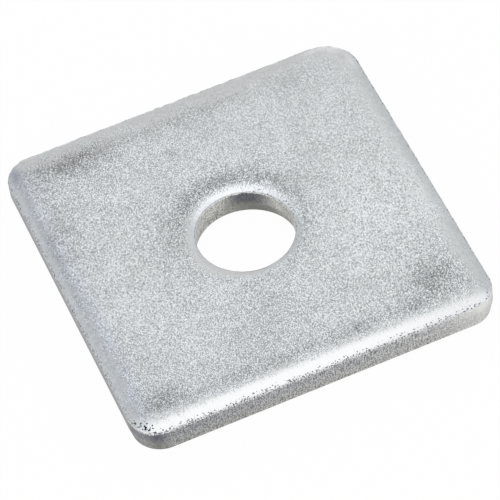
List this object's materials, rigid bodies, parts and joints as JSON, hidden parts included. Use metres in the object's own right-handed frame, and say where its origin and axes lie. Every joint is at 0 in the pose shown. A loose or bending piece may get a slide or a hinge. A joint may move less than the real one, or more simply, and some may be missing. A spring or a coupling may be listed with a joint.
{
  "type": "square plate washer",
  "caption": "Thick square steel plate with rounded corners, rolled edges and a central bolt hole, which spreads a bolt's load over timber or a slotted hole.",
  "frame": {"origin": "on the underside, on the axis of the bolt hole", "axes": "+Z along the bolt hole, from the underside to the face with the rolled edges; +X and +Y square to the sides"},
  "size_m": [0.05, 0.05, 0.0047],
  "materials": {
    "zinc_plated_steel": "bright zinc plating, satin, over sheared steel plate"
  },
  "bodies": {
    "root": {"plate_washer": "zinc_plated_steel"}
  },
  "joints": []
}
